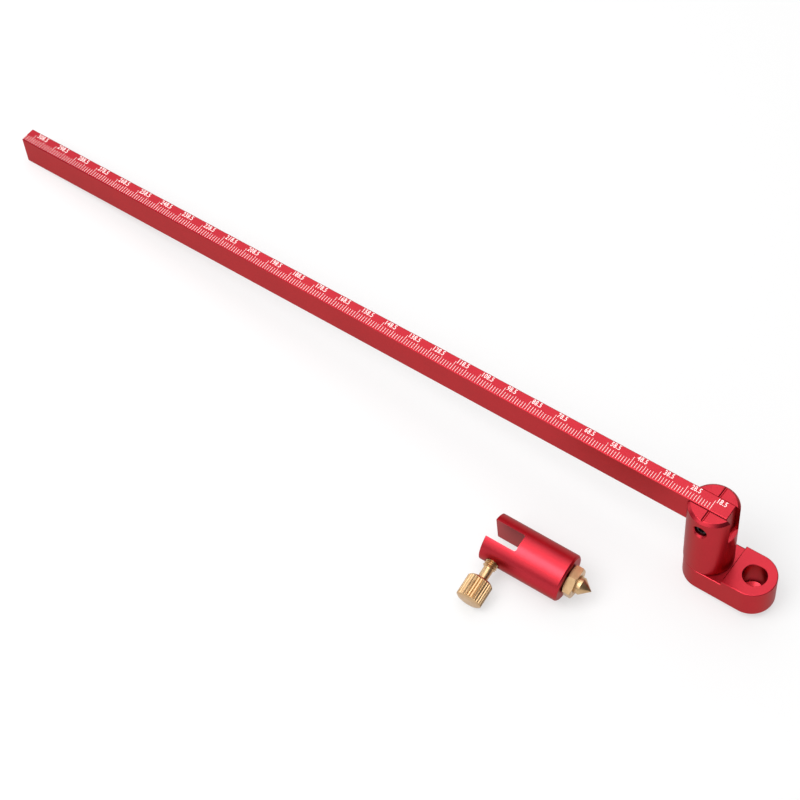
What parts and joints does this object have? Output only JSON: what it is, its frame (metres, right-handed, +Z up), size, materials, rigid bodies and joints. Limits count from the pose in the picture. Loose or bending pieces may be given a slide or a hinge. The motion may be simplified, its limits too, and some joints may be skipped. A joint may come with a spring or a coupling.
{
  "type": "center finder ruler",
  "caption": "Graduated bar clamped in a slotted post on a foot with a pencil hole, with a separate clamp-on slider that carries a centre point.",
  "frame": {"origin": "middle of the footprint of the tool and its slider, on the table they lie on", "axes": "+X runs along the bar towards the post and the foot's pencil hole, +Z is up from the table"},
  "size_m": [0.3204, 0.0676, 0.0404],
  "materials": {
    "red_aluminium": "satin red anodised",
    "brass": "turned, bright",
    "black_steel": "black oxide"
  },
  "bodies": {
    "post_assembly": {"post": "red_aluminium", "foot_screw": "black_steel"},
    "bar": {"bar": "red_aluminium"},
    "lock_screw": {"bar_lock_screw": "black_steel"},
    "foot": {"foot": "red_aluminium"},
    "slider": {"slider_body": "red_aluminium"},
    "thumb_screw": {"thumb_screw": "brass"},
    "centre_point": {"centre_point": "brass"},
    "lock_nut": {"point_lock_nut": "brass"}
  },
  "joints": [
    {"name": "bar_slide", "type": "slide", "parent": "post_assembly", "child": "bar", "axis": [0.9953, 0, 0.0965], "range_m": [-0.0035, 0.28]},
    {"name": "lock_screw_travel", "type": "slide", "parent": "post_assembly", "child": "lock_screw", "axis": [0, -1, 0], "range_m": [0, 0.0035]},
    {"name": "foot_swivel", "type": "hinge", "parent": "post_assembly", "child": "foot", "pos_m": [0.13592, 0.02539, 0.00076], "axis": [-0.0965, 0, 0.9953], "continuous": true},
    {"name": "slider_travel", "type": "slide", "parent": "post_assembly", "child": "slider", "axis": [1, 0, 0], "range_m": [-0.234, 0.0345]},
    {"name": "thumb_screw_travel", "type": "slide", "parent": "slider", "child": "thumb_screw", "axis": [0.055, -0.984, -0.1692], "range_m": [-0.0063, 0.003]},
    {"name": "point_travel", "type": "slide", "parent": "slider", "child": "centre_point", "axis": [0.9984, 0.0558, 0], "range_m": [-0.004, 0.003]},
    {"name": "nut_turn", "type": "hinge", "parent": "slider", "child": "lock_nut", "pos_m": [0.10301, -0.00878, 0.0084], "axis": [0.9984, 0.0558, 0], "continuous": true}
  ]
}
